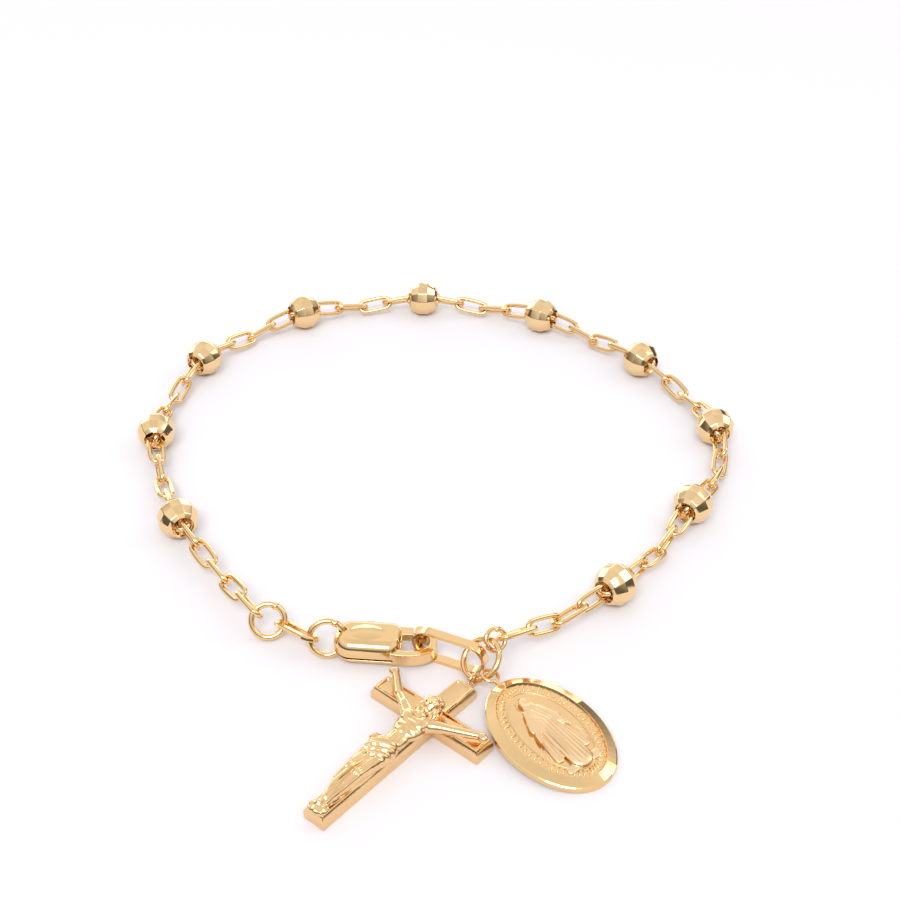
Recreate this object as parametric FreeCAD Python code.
"""Rosary bracelet in yellow gold, lying closed on a flat surface.

Ten hollow cut beads run on a chain of long links. A lobster clasp closes the loop
round an oval band ring. A large jump ring beside it carries the end of the chain,
an oval medal and a crucifix. Lengths are in millimetres, +Z is up, +X is to the
right and +Y runs away from the clasp. The origin is under the middle of the part,
on the surface that it lies on.
"""
import FreeCAD, Part
import math
import os

Vector = FreeCAD.Vector
UP = Vector(0, 0, 1)

# Beads: hollow polyhedra on the chain, with twelve flats round the hole
BEAD_RADIUS = 2.03
BEAD_WALL = 0.25
BEAD_HOLE_RADIUS = 1.1
BEAD_SIDES = 12
BEAD_ROWS_DEG = (15.0, 43.0)
BEAD_HEIGHT = 1.9

# Chain: long oval links, each turned a quarter turn from its neighbour
LINK_LENGTH = 4.22
LINK_WIDTH = 1.84
LINK_WIRE = 0.42
LINK_PITCH = 2.96
LINK_END_SEGMENTS = 5
LINKS_PER_BEAD = 5
LINK_ROLL_DEG = 45.0
ROLL_FADE = 14
CHAIN_LOW = 1.1
TAIL_CHAIN_LOW = 1.7

# Middle of each bead on the surface, and how far the chain after it bows outwards
BEADS = (
    # x, y, bow
    (-25.10, -3.95, 0.4),
    (-29.70, 10.75, 0.6),
    (-26.60, 25.40, 0.8),
    (-15.90, 35.65, 0.8),
    (-1.65, 38.90, 0.8),
    (12.50, 34.80, 0.8),
    (23.30, 25.00, 0.8),
    (29.95, 11.70, 1.5),
    (25.50, -1.55, 0.5),
    (16.90, -13.75, 0.3),
)
LOOP_MIDDLE = Vector(0, 10, 0)

# Jump rings: middle, axis, radius at the middle of the wire, wire radius
END_RING_MIDDLE = Vector(-14.7, -18.2, 1.6)
END_RING_AXIS = Vector(0.12, -0.8, 0.58)
END_RING_RADIUS = 1.5
END_RING_WIRE = 0.3
CLASP_RING_MIDDLE = Vector(-9.25, -20.62, 1.76)
CLASP_RING_AXIS = Vector(0.1, -0.9, 0.42)
CLASP_RING_RADIUS = 1.57
CLASP_RING_WIRE = 0.29
CHAIN_RING_RADIUS = 0.97
CHAIN_RING_WIRE = 0.22
CHAIN_RING_MIDDLE = Vector(5.56, -22.28, 3.16)
CHAIN_RING_AXIS = Vector(0.46, -0.66, 0.59)
LAST_LINK_REACH = 0.36
CONNECTOR_WIRE = 0.28

# Places on the middle line of the large jump ring
MEDAL_EYE = Vector(5.03, -25.13, 1.72)
CRUCIFIX_EYE = Vector(3.62, -24.72, 0.81)
CONNECTOR_TOP = Vector(5.01, -22.16, 3.13)

# Link between the two jump rings on the clasp's side
BRIDGE_WIDTH = 1.9
BRIDGE_WIRE = 0.5

# Oval band ring, standing on edge through the clasp's hook
BAND_START = Vector(-1.75, -20.95, 0)
BAND_HEADING_DEG = -25.0
BAND_LENGTH = 7.0
BAND_HEIGHT = 3.2
BAND_WIDTH = 0.9
BAND_THICK = 0.32

# Lobster clasp, lying on its side; x runs from its tail to the end of its hook
CLASP_TAIL = Vector(-8.55, -20.45, 0)
CLASP_HEADING_DEG = -5.0
CLASP_THICK = 2.5
CLASP_BODY_END = 5.85
HOOK_LOW = 0.5
HOOK_HIGH = 1.75
SHELL_START = -0.1
PASSAGE_CLEARANCE = 0.08
SEAM_START = 0.25
SEAM_LENGTH = 5.05
SLOT_LOW = 0.8
SLOT_HIGH = 1.7
PIVOT = Vector(4.1, 1.3, 0)
PIN_RADIUS = 0.25
PIN_CLEARANCE = 0.04
LEVER_CLEARANCE = 0.06
GATE_REACH = 2.72

# Medal: an oval plate with a cut rim, a sunk field and raised work
MEDAL_HEADING_DEG = -50.0
MEDAL_LONG = 6.45
MEDAL_SHORT = 4.48
MEDAL_THICK = 0.95
MEDAL_EYE_REACH = 7.6
MEDAL_EYE_RADIUS = 0.72
MEDAL_EYE_WIRE = 0.17
MEDAL_EYE_TILT_DEG = 12.0
RIM_WIDTH = 1.0
RIM_CUT = 0.4
FIELD_DEPTH = 0.3

# Crucifix: a cast cross with channelled beams and a figure in high relief
CROSS_HEADING_DEG = 49.6
CROSS_EYE_REACH = 5.6
CROSS_TOP = 4.75
CROSS_FOOT = 14.1
CROSS_ARM = 5.9
CROSS_WIDTH = 2.2
CROSS_THICK = 1.3
CROSS_HIP = 0.9
CHANNEL_DEPTH = 0.25
CHANNEL_RIM = 0.38
CROSS_EYE_RADIUS = 0.6
CROSS_EYE_WIRE = 0.17


def heading(degrees):
    """Unit vector in the surface plane."""
    return Vector(math.cos(math.radians(degrees)), math.sin(math.radians(degrees)), 0)


def unit(vector):
    return vector * (1.0 / vector.Length)


def square_to(vector, axis):
    """The part of a vector that stands square to an axis, as a unit vector."""
    axis = unit(axis)
    return unit(vector - axis * vector.dot(axis))


def placed(shape, origin, x_axis, z_axis):
    """A shape modelled about the origin, set down at a place with its x and z axes turned."""
    x_axis = square_to(x_axis, z_axis)
    z_axis = unit(z_axis)
    y_axis = z_axis.cross(x_axis)
    matrix = FreeCAD.Matrix(
        x_axis.x, y_axis.x, z_axis.x, origin.x,
        x_axis.y, y_axis.y, z_axis.y, origin.y,
        x_axis.z, y_axis.z, z_axis.z, origin.z,
        0, 0, 0, 1)
    moved = shape.copy()
    moved.Placement = FreeCAD.Placement(matrix)
    return moved


def polygon_face(points):
    return Part.Face(Part.makePolygon(list(points) + [points[0]]))


def solid_of(faces):
    """A solid from flat faces that close on each other."""
    solid = Part.Solid(Part.makeShell(faces))
    if solid.Volume < 0:
        solid.reverse()
    return solid


def skin_rows(rows):
    """Flat four-sided faces between rows of points, closed both ways."""
    faces = []
    count = len(rows[0])
    for i, row in enumerate(rows):
        following = rows[(i + 1) % len(rows)]
        for j in range(count):
            k = (j + 1) % count
            faces.append(polygon_face((row[j], following[j], following[k], row[k])))
    return solid_of(faces)


def wire_loop(outline, section):
    """A closed wire: a section of (out, up) carried round an outline, mitred at its corners."""
    rows = []
    for i, point in enumerate(outline):
        arriving = unit(point - outline[i - 1])
        leaving = unit(outline[(i + 1) % len(outline)] - point)
        along = unit(arriving + leaving)
        outward = Vector(along.y, -along.x, 0) * (1.0 / along.dot(leaving))
        rows.append([point + outward * out + UP * up for out, up in section])
    return skin_rows(rows)


def six_sided(wire):
    """Section of a six-sided wire, given its thickness across the flats."""
    radius = wire / 2 / math.cos(math.radians(30))
    turns = [math.radians(60 * k + 30) for k in range(6)]
    return [(radius * math.cos(turn), radius * math.sin(turn)) for turn in turns]


def oval_link(length, width, wire, segments):
    """A link with straight sides and round ends, flat in the XY plane, long way on X."""
    radius = (width - wire) / 2
    reach = (length - wire) / 2 - radius
    outline = []
    for side in (1, -1):
        for k in range(segments + 1):
            turn = math.radians(-90 + 180.0 * k / segments)
            outline.append(Vector(side * (reach + radius * math.cos(turn)), side * radius * math.sin(turn), 0))
    return wire_loop(outline, six_sided(wire))


def cut_bead():
    """Hollow bead with flat facets, its hole along X."""
    hole_deg = math.degrees(math.acos(BEAD_HOLE_RADIUS / BEAD_RADIUS))
    rows = [-hole_deg] + [-row for row in reversed(BEAD_ROWS_DEG)] + list(BEAD_ROWS_DEG) + [hole_deg]
    ratio = (BEAD_RADIUS - BEAD_WALL) / BEAD_RADIUS
    outer = [(BEAD_RADIUS * math.sin(math.radians(row)), BEAD_RADIUS * math.cos(math.radians(row)))
             for row in rows]
    inner = [(x * ratio, r * ratio + BEAD_WALL * (abs(x) > BEAD_RADIUS * 0.8)) for x, r in reversed(outer)]
    profile = outer + inner
    turns = [2 * math.pi * (k + 0.5) / BEAD_SIDES for k in range(BEAD_SIDES)]
    return skin_rows([[Vector(x, r * math.cos(turn), r * math.sin(turn)) for x, r in profile]
                      for turn in turns])


def between(start, end, fraction, bow, low):
    """A point of a stretch of chain, which bows outwards and sinks between its ends."""
    chord = end - start
    outward = square_to(Vector(chord.y, -chord.x, 0), UP)
    if outward.dot((start + end) * 0.5 - LOOP_MIDDLE) < 0:
        outward = outward * -1
    sunk = math.sin(math.pi * min(max((fraction - 0.1) / 0.8, 0), 1)) ** 2
    point = start + chord * fraction + outward * (bow * 4 * fraction * (1 - fraction))
    return point - UP * (sunk * (point.z - low))


def chain_contacts(left_end, right_end):
    """Where each link meets the next, from the left end to the right end."""
    middles = [Vector(x, y, BEAD_HEIGHT) for x, y, bow in BEADS]
    contacts = []
    tail = LINKS_PER_BEAD + 0.5
    for k in range(LINKS_PER_BEAD + 1):
        contacts.append(between(left_end, middles[0], k / tail, 0.1, TAIL_CHAIN_LOW))
    for i in range(len(BEADS) - 1):
        for k in range(LINKS_PER_BEAD):
            fraction = (k + 0.5) / LINKS_PER_BEAD
            contacts.append(between(middles[i], middles[i + 1], fraction, BEADS[i][2], CHAIN_LOW))
    tail = LINKS_PER_BEAD - 0.5
    for k in range(LINKS_PER_BEAD):
        contacts.append(between(middles[-1], right_end, (k + 0.5) / tail, BEADS[-1][2], TAIL_CHAIN_LOW))
    return contacts


def usual_roll(index):
    """Roll of a link about the run of the chain, in radians."""
    return math.radians(LINK_ROLL_DEG if index % 2 else -LINK_ROLL_DEG)


def spare_roll(along, normal, index):
    """How far an end link turns from its usual roll to stand square to its ring."""
    level = square_to(UP, along)
    roll = math.atan2(normal.dot(unit(along).cross(level)), normal.dot(level)) - usual_roll(index)
    return (roll + math.pi / 2) % math.pi - math.pi / 2


def chain_and_beads(left_end, right_end, left_normal, right_normal):
    """All the links in one list, and the beads in another."""
    link = oval_link(LINK_LENGTH, LINK_WIDTH, LINK_WIRE, LINK_END_SEGMENTS)
    bead = cut_bead()
    contacts = chain_contacts(left_end, right_end)
    last = len(contacts) - 2
    left_turn = spare_roll(contacts[1] - contacts[0], left_normal, 0)
    right_turn = spare_roll(contacts[last + 1] - contacts[last], right_normal, last)
    links = []
    beads = []
    for i in range(last + 1):
        along = contacts[i + 1] - contacts[i]
        middle = (contacts[i] + contacts[i + 1]) * 0.5
        level = square_to(UP, along)
        roll = usual_roll(i)
        roll += left_turn * max(0, 1 - i / ROLL_FADE) + right_turn * max(0, 1 - (last - i) / ROLL_FADE)
        normal = level * math.cos(roll) + unit(along).cross(level) * math.sin(roll)
        links.append(placed(link, middle, along, normal))
        if i % LINKS_PER_BEAD == 0 and 0 < i <= LINKS_PER_BEAD * len(BEADS):
            beads.append(placed(bead, middle, along, level))
    return links, beads


def torus(middle, axis, radius, wire_radius):
    return Part.makeTorus(radius, wire_radius, middle, axis)


def circle_through(first, second, third):
    """Middle, axis and radius of the circle through three points."""
    a = second - first
    b = third - first
    axis = a.cross(b)
    span = 2 * axis.dot(axis)
    middle = first + (axis.cross(a) * b.dot(b) + b.cross(axis) * a.dot(a)) * (1.0 / span)
    return middle, unit(axis), (first - middle).Length


def stadium_wire(length, height, inset):
    """An oval with straight long sides, in the XZ plane, starting at x = 0."""
    radius = height / 2 - inset
    left = height / 2
    right = length - height / 2
    mid = height / 2
    corners = [Vector(left, 0, mid - radius), Vector(right, 0, mid - radius),
               Vector(right, 0, mid + radius), Vector(left, 0, mid + radius)]
    edges = [
        Part.LineSegment(corners[0], corners[1]).toShape(),
        Part.Arc(corners[1], Vector(right + radius, 0, mid), corners[2]).toShape(),
        Part.LineSegment(corners[2], corners[3]).toShape(),
        Part.Arc(corners[3], Vector(left - radius, 0, mid), corners[0]).toShape(),
    ]
    return Part.Wire(edges)


def band_ring():
    """Oval ring of flat band, standing on its long side."""
    outer = Part.Face(stadium_wire(BAND_LENGTH, BAND_HEIGHT, 0))
    inner = Part.Face(stadium_wire(BAND_LENGTH, BAND_HEIGHT, BAND_THICK))
    band = outer.cut(inner).extrude(Vector(0, BAND_WIDTH, 0))
    band.translate(Vector(0, -BAND_WIDTH / 2, 0))
    return placed(band, BAND_START, heading(BAND_HEADING_DEG), UP)


def clasp_shell():
    """The swollen body of the clasp, before it is cut."""
    sections = (
        # height, inset
        (0.0, 0.75),
        (0.35, 0.2),
        (0.8, 0.0),
        (1.7, 0.0),
        (2.15, 0.2),
        (CLASP_THICK, 0.75),
    )
    wires = []
    for height, inset in sections:
        near = -1.72 + inset
        far = 2.02 - inset
        left = SHELL_START + inset
        right = CLASP_BODY_END - inset * 0.25
        corner = 1.1 - inset * 0.5
        wires.append(rounded_outline(left, right, near, far, corner, height))
    return Part.makeLoft(wires, True, True)


def rounded_outline(left, right, near, far, corner, height):
    """An outline with round corners, the left pair larger."""
    big = (far - near) * 0.42
    return Part.Wire([
        Part.LineSegment(Vector(left + big, near, height), Vector(right - corner, near, height)).toShape(),
        quarter(Vector(right - corner, near + corner, height), corner, -90),
        Part.LineSegment(Vector(right, near + corner, height), Vector(right, far - corner, height)).toShape(),
        quarter(Vector(right - corner, far - corner, height), corner, 0),
        Part.LineSegment(Vector(right - corner, far, height), Vector(left + big, far, height)).toShape(),
        quarter(Vector(left + big, far - big, height), big, 90),
        Part.LineSegment(Vector(left, far - big, height), Vector(left, near + big, height)).toShape(),
        quarter(Vector(left + big, near + big, height), big, 180),
    ])


def quarter(middle, radius, start_deg):
    """A quarter circle, counter-clockwise from a starting angle."""
    points = [middle + heading(start_deg + turn) * radius for turn in (0, 45, 90)]
    return Part.Arc(*points).toShape()


def clasp_hook():
    """The hook, from under the body round to the nose that meets the gate."""
    outer = [(4.6, -1.7), (7.3, -1.72), (8.6, -1.1), (9.05, 0.15), (8.65, 1.45), (7.9, 2.0), (7.0, 1.98),
             (6.92, 1.5), (6.98, 1.05), (7.6, 1.05), (8.2, 0.75), (8.42, 0.1), (8.1, -0.65), (7.2, -1.08),
             (5.9, -1.1), (4.6, -1.0)]
    curve = Part.BSplineCurve()
    curve.interpolate([Vector(x, y, HOOK_LOW) for x, y in outer], True)
    hook = Part.Face(Part.Wire(curve.toShape())).extrude(UP * (HOOK_HIGH - HOOK_LOW))
    return hook


def clasp_parts():
    """The clasp's body with its pin, and its lever."""
    body = clasp_shell().fuse(clasp_hook())
    slot = Part.makeBox(CLASP_BODY_END - 1.3, 4.0, SLOT_HIGH - SLOT_LOW, Vector(1.9, -0.6, SLOT_LOW))
    body = body.cut(slot)
    seam = Part.makeBox(SEAM_LENGTH, 1.6, 0.2, Vector(SEAM_START, -2.1, SLOT_LOW))
    body = body.cut(seam)
    pin = Part.makeCylinder(PIN_RADIUS, SLOT_HIGH - SLOT_LOW + 0.2, PIVOT + UP * (SLOT_LOW - 0.1))
    along = heading(CLASP_HEADING_DEG)
    body = placed(body.fuse(pin).removeSplitter(), CLASP_TAIL, along, UP)
    body = body.cut(torus(CLASP_RING_MIDDLE, CLASP_RING_AXIS, CLASP_RING_RADIUS,
                          CLASP_RING_WIRE + PASSAGE_CLEARANCE))

    low = SLOT_LOW + LEVER_CLEARANCE
    height = SLOT_HIGH - SLOT_LOW - 2 * LEVER_CLEARANCE
    boss = Part.makeCylinder(0.68, height, PIVOT + UP * low)
    gate = polygon_face([Vector(PIVOT.x, PIVOT.y - 0.4, low), Vector(PIVOT.x + 3.2, PIVOT.y - 0.3, low),
                         Vector(PIVOT.x + 3.2, PIVOT.y + 0.62, low), Vector(PIVOT.x, PIVOT.y + 0.68, low)])
    gate = gate.extrude(UP * height).common(Part.makeCylinder(GATE_REACH, height, PIVOT + UP * low))
    thumb = polygon_face([Vector(PIVOT.x, PIVOT.y - 0.1, low), Vector(PIVOT.x + 0.2, PIVOT.y + 0.6, low),
                          Vector(PIVOT.x - 1.0, PIVOT.y + 1.2, low), Vector(PIVOT.x - 1.7, PIVOT.y + 1.1, low),
                          Vector(PIVOT.x - 1.5, PIVOT.y + 0.9, low)])
    thumb = thumb.extrude(UP * height)
    lever = boss.fuse(gate).fuse(thumb)
    lever = lever.cut(Part.makeCylinder(PIN_RADIUS + PIN_CLEARANCE, CLASP_THICK, PIVOT)).removeSplitter()
    return body, placed(lever, CLASP_TAIL, along, UP)


def oval_wire(long_radius, short_radius, height):
    """An ellipse, long way on Y, at a height."""
    ellipse = Part.Ellipse(Vector(0, long_radius, height), Vector(-short_radius, 0, height), Vector(0, 0, height))
    return Part.Wire(ellipse.toShape())


def raised(points, foot, top, draft):
    """A low relief form: a polygon at the foot and a smaller one on top, joined by slopes."""
    middle = Vector(sum(p[0] for p in points) / len(points), sum(p[1] for p in points) / len(points), 0)
    rows = []
    for height, shrink in ((foot, 1.0), (top, draft)):
        rows.append([Vector(middle.x + (x - middle.x) * shrink, middle.y + (y - middle.y) * shrink, height)
                     for x, y in points])
    wires = [Part.makePolygon(row + [row[0]]) for row in rows]
    return Part.makeLoft(wires, True, True)


def medal_relief(foot):
    """The robed figure with open hands, standing on a globe, raised on the field."""
    forms = [
        # outline (x, y), height above the field, size of the top against the foot
        ([(-1.5, -3.1), (1.5, -3.1), (1.25, -0.4), (0.72, 1.35), (-0.72, 1.35), (-1.25, -0.4)], 0.2, 0.72),
        ([(-0.85, -3.0), (0.85, -3.0), (0.55, 0.2), (0.35, 1.3), (-0.35, 1.3), (-0.55, 0.2)], 0.34, 0.6),
        ([(-0.5, 0.55), (-1.7, -0.75), (-1.35, -1.0), (-0.3, 0.1)], 0.26, 0.6),
        ([(0.5, 0.55), (1.7, -0.75), (1.35, -1.0), (0.3, 0.1)], 0.26, 0.6),
        ([(-0.6, 1.2), (0.6, 1.2), (0.62, 2.3), (0.3, 2.72), (-0.3, 2.72), (-0.62, 2.3)], 0.24, 0.7),
    ]
    shapes = [raised(points, foot - 0.05, foot + height, top) for points, height, top in forms]
    head = Part.makeSphere(0.42, Vector(0, 1.95, foot + 0.08))
    globe = Part.makeCylinder(2.3, 0.17, Vector(0, -4.95, foot - 0.05))
    globe = globe.common(Part.makeCylinder(3.2, 1.0, Vector(0, -2.25, foot - 0.5)))
    shapes.extend((head, globe))
    for side in (-1, 1):
        for k in range(3):
            turn = math.radians(-90 + side * (12 + 16 * k))
            tip = Vector(side * 1.5 + 1.25 * math.cos(turn), -0.9 + 1.25 * math.sin(turn), 0)
            across = Vector(-math.sin(turn), math.cos(turn), 0) * 0.09
            start = Vector(side * 1.5, -0.9, 0)
            ray = [(p.x, p.y) for p in (start - across, tip - across, tip + across, start + across)]
            shapes.append(raised(ray, foot - 0.05, foot + 0.1, 0.8))
    return shapes


def medal():
    """Oval medal with its eye, lying with the eye raised."""
    side = MEDAL_THICK - RIM_CUT
    crest_long = MEDAL_LONG - RIM_WIDTH
    crest_short = MEDAL_SHORT - RIM_WIDTH
    plate = Part.Face(oval_wire(MEDAL_LONG, MEDAL_SHORT, 0)).extrude(UP * side)
    bevel = Part.makeLoft([oval_wire(MEDAL_LONG, MEDAL_SHORT, side),
                           oval_wire(crest_long, crest_short, MEDAL_THICK)], True, True)
    field = Part.makeLoft([oval_wire(crest_long - 0.35, crest_short - 0.35, MEDAL_THICK - FIELD_DEPTH),
                           oval_wire(crest_long - 0.05, crest_short - 0.05, MEDAL_THICK + 0.02)], True, True)
    body = plate.fuse(bevel).cut(field)
    foot = MEDAL_THICK - FIELD_DEPTH
    body = body.fuse(medal_relief(foot))
    eye_tilt = math.radians(MEDAL_EYE_TILT_DEG)
    eye_axis = Vector(math.sin(eye_tilt), 0, math.cos(eye_tilt))
    eye_height = MEDAL_THICK * 0.5
    eye = torus(Vector(0, MEDAL_EYE_REACH, eye_height), eye_axis, MEDAL_EYE_RADIUS, MEDAL_EYE_WIRE)
    neck = Part.makeBox(0.9, 0.62, 0.3, Vector(-0.45, MEDAL_LONG - 0.2, eye_height - 0.15))
    neck = neck.cut(Part.makeCylinder(MEDAL_EYE_RADIUS, 1.0, Vector(0, MEDAL_EYE_REACH, 0)))
    body = body.fuse([eye, neck]).removeSplitter()
    # The far rim rests on the surface and the eye is held up by the ring
    slope = math.asin((MEDAL_EYE.z - eye_height) / (MEDAL_EYE_REACH + MEDAL_LONG))
    along = heading(MEDAL_HEADING_DEG) * -1
    upward = Vector(along.x * math.cos(slope), along.y * math.cos(slope), math.sin(slope))
    normal = square_to(UP, upward)
    origin = MEDAL_EYE - upward * MEDAL_EYE_REACH - normal * eye_height
    return placed(body, origin, upward.cross(normal), normal)


def beam(start, end):
    """One beam of the cross along X, with hipped ends and a sunk channel on its face."""
    half = CROSS_WIDTH / 2
    low = polygon_face([Vector(start, -half, 0), Vector(end, -half, 0), Vector(end, half, 0), Vector(start, half, 0)])
    block = low.extrude(UP * CROSS_THICK)
    for place, side in ((start, -1), (end, 1)):
        hip = polygon_face([Vector(place + side * 0.1, -half, CROSS_THICK * 0.45),
                            Vector(place + side * 0.1, -half, CROSS_THICK + 0.1),
                            Vector(place - side * CROSS_HIP, -half, CROSS_THICK + 0.1)])
        block = block.cut(hip.extrude(Vector(0, CROSS_WIDTH, 0)))
    return block


def channel(start, end):
    inner = CROSS_WIDTH / 2 - CHANNEL_RIM
    return Part.makeBox(end - start, 2 * inner, CHANNEL_DEPTH + 0.1,
                        Vector(start, -inner, CROSS_THICK - CHANNEL_DEPTH))


def limb(start, end, start_radius, end_radius):
    """A tapered round limb with round ends."""
    along = end - start
    cone = Part.makeCone(start_radius, end_radius, along.Length, start, along)
    return [cone, Part.makeSphere(start_radius, start), Part.makeSphere(end_radius, end)]


def figure():
    """The figure on the cross; x runs up the long beam and y to the left arm."""
    face = CROSS_THICK
    forms = []
    hips = Vector(-4.6, 0.0, face + 0.42)
    chest = Vector(-1.3, 0.0, face + 0.62)
    neck = Vector(-0.1, 0.05, face + 0.75)
    head = Vector(0.45, -0.15, face + 1.0)
    forms += limb(hips, chest, 0.72, 0.85)
    forms += limb(chest, neck, 0.5, 0.36)
    forms.append(Part.makeSphere(0.62, head))
    forms += limb(head + Vector(0.05, 0.1, -0.25), head + Vector(-0.95, 0.32, -0.3), 0.5, 0.3)
    for side in (-1, 1):
        shoulder = Vector(-0.9, side * 0.75, face + 0.6)
        elbow = Vector(-0.2, side * 2.7, face + 0.32)
        hand = Vector(0.25, side * 5.1, face + 0.18)
        forms += limb(shoulder, elbow, 0.42, 0.32)
        forms += limb(elbow, hand, 0.32, 0.24)
        forms += limb(hand, hand + Vector(0.1, side * 0.45, 0.0), 0.3, 0.24)
        knee = Vector(-7.6, side * 0.32, face + 0.62)
        ankle = Vector(-11.0, side * 0.16, face + 0.3)
        forms += limb(Vector(-4.9, side * 0.35, face + 0.4), knee, 0.58, 0.46)
        forms += limb(knee, ankle, 0.44, 0.3)
        forms += limb(ankle, Vector(-12.0, side * 0.22, face + 0.12), 0.3, 0.24)
    cloth = [(-3.9, 1.0), (-6.3, 0.95), (-6.5, -0.1), (-6.2, -0.95), (-3.8, -1.0)]
    forms.append(raised(cloth, face - 0.1, face + 1.05, 0.72))
    forms += limb(Vector(-4.1, -0.9, face + 0.5), Vector(-5.8, -1.2, face + 0.2), 0.34, 0.22)
    forms.append(Part.makeBox(0.9, 1.2, 0.4, Vector(-13.2, -0.6, face - 0.2)))
    return forms


def crucifix():
    """Cast crucifix with its eye, the cross and the figure in one."""
    across = beam(-CROSS_ARM, CROSS_ARM)
    across.rotate(Vector(0, 0, 0), UP, 90)
    cross = beam(-CROSS_FOOT, CROSS_TOP).fuse(across)
    cut_across = channel(-CROSS_ARM + CROSS_HIP + 0.2, CROSS_ARM - CROSS_HIP - 0.2)
    cut_across.rotate(Vector(0, 0, 0), UP, 90)
    cross = cross.cut(channel(-CROSS_FOOT + CROSS_HIP + 0.2, CROSS_TOP - CROSS_HIP - 0.2)).cut(cut_across)
    eye = torus(Vector(CROSS_EYE_REACH, 0, CRUCIFIX_EYE.z), Vector(0, 1, 0), CROSS_EYE_RADIUS, CROSS_EYE_WIRE)
    neck = Part.makeBox(CROSS_EYE_REACH - CROSS_EYE_RADIUS - CROSS_TOP + 0.15, 0.5, 0.5,
                        Vector(CROSS_TOP - 0.1, -0.25, CRUCIFIX_EYE.z - 0.25))
    whole = cross.fuse([eye, neck] + figure()).removeSplitter()
    along = heading(CROSS_HEADING_DEG)
    ground = Vector(CRUCIFIX_EYE.x, CRUCIFIX_EYE.y, 0)
    return placed(whole, ground - along * CROSS_EYE_REACH, along, UP)


def build():
    """Every piece, by name."""
    pieces = {}
    top_middle, axis, radius = circle_through(MEDAL_EYE, CONNECTOR_TOP, CRUCIFIX_EYE)
    pieces["connector_ring"] = torus(top_middle, axis, radius, CONNECTOR_WIRE)
    pieces["chain_ring"] = torus(CHAIN_RING_MIDDLE, CHAIN_RING_AXIS, CHAIN_RING_RADIUS, CHAIN_RING_WIRE)
    pieces["end_ring"] = torus(END_RING_MIDDLE, END_RING_AXIS, END_RING_RADIUS, END_RING_WIRE)
    pieces["clasp_ring"] = torus(CLASP_RING_MIDDLE, CLASP_RING_AXIS, CLASP_RING_RADIUS, CLASP_RING_WIRE)

    overlap = (LINK_LENGTH - LINK_WIRE - LINK_PITCH) / 2
    left_out = square_to(Vector(-0.65, 0.75, 0), END_RING_AXIS)
    left_wire = END_RING_MIDDLE + left_out * END_RING_RADIUS
    left_end = left_wire - unit(Vector(BEADS[0][0], BEADS[0][1], BEAD_HEIGHT) - left_wire) * overlap
    right_out = square_to(Vector(0.86, 0.5, -0.12), CHAIN_RING_AXIS)
    right_end = CHAIN_RING_MIDDLE + right_out * (LAST_LINK_REACH + overlap)
    links, beads = chain_and_beads(left_end, right_end,
                                   END_RING_AXIS.cross(left_out), CHAIN_RING_AXIS.cross(right_out))
    pieces["chain_links"] = Part.makeCompound(links)
    for i, bead in enumerate(beads):
        pieces["bead_%02d" % (i + 1)] = bead

    end_out = square_to(Vector(0.93, -0.36, 0), END_RING_AXIS)
    clasp_out = square_to(Vector(-0.98, 0.2, 0), CLASP_RING_AXIS)
    bridge_start = END_RING_MIDDLE + end_out * END_RING_RADIUS
    bridge_end = CLASP_RING_MIDDLE + clasp_out * CLASP_RING_RADIUS
    bridge_along = bridge_end - bridge_start
    bridge_normal = clasp_out.cross(unit(CLASP_RING_AXIS)) - end_out.cross(unit(END_RING_AXIS))
    bridge = oval_link(bridge_along.Length + BRIDGE_WIDTH, BRIDGE_WIDTH, BRIDGE_WIRE, LINK_END_SEGMENTS)
    pieces["bridge_link"] = placed(bridge, (bridge_start + bridge_end) * 0.5, bridge_along,
                                   square_to(bridge_normal, bridge_along))
    pieces["band_ring"] = band_ring()
    pieces["clasp_body"], pieces["clasp_lever"] = clasp_parts()
    pieces["medal"] = medal()
    pieces["crucifix"] = crucifix()
    return pieces


def main():
    pieces = build()
    box = Part.makeCompound(list(pieces.values())).optimalBoundingBox()
    shift = Vector(-(box.XMin + box.XMax) / 2, -(box.YMin + box.YMax) / 2, -box.ZMin)
    os.makedirs("parts", exist_ok=True)
    for name, shape in sorted(pieces.items()):
        moved = shape.copy()
        moved.translate(shift)
        moved.exportStep("parts/%s.step" % name)
        print("%-16s valid %s volume %.2f" % (name, moved.isValid(), moved.Volume))
    print("size %.2f %.2f %.2f" % (box.XLength, box.YLength, box.ZLength))
    print("moved by %.3f %.3f %.3f" % (shift.x, shift.y, shift.z))


main()
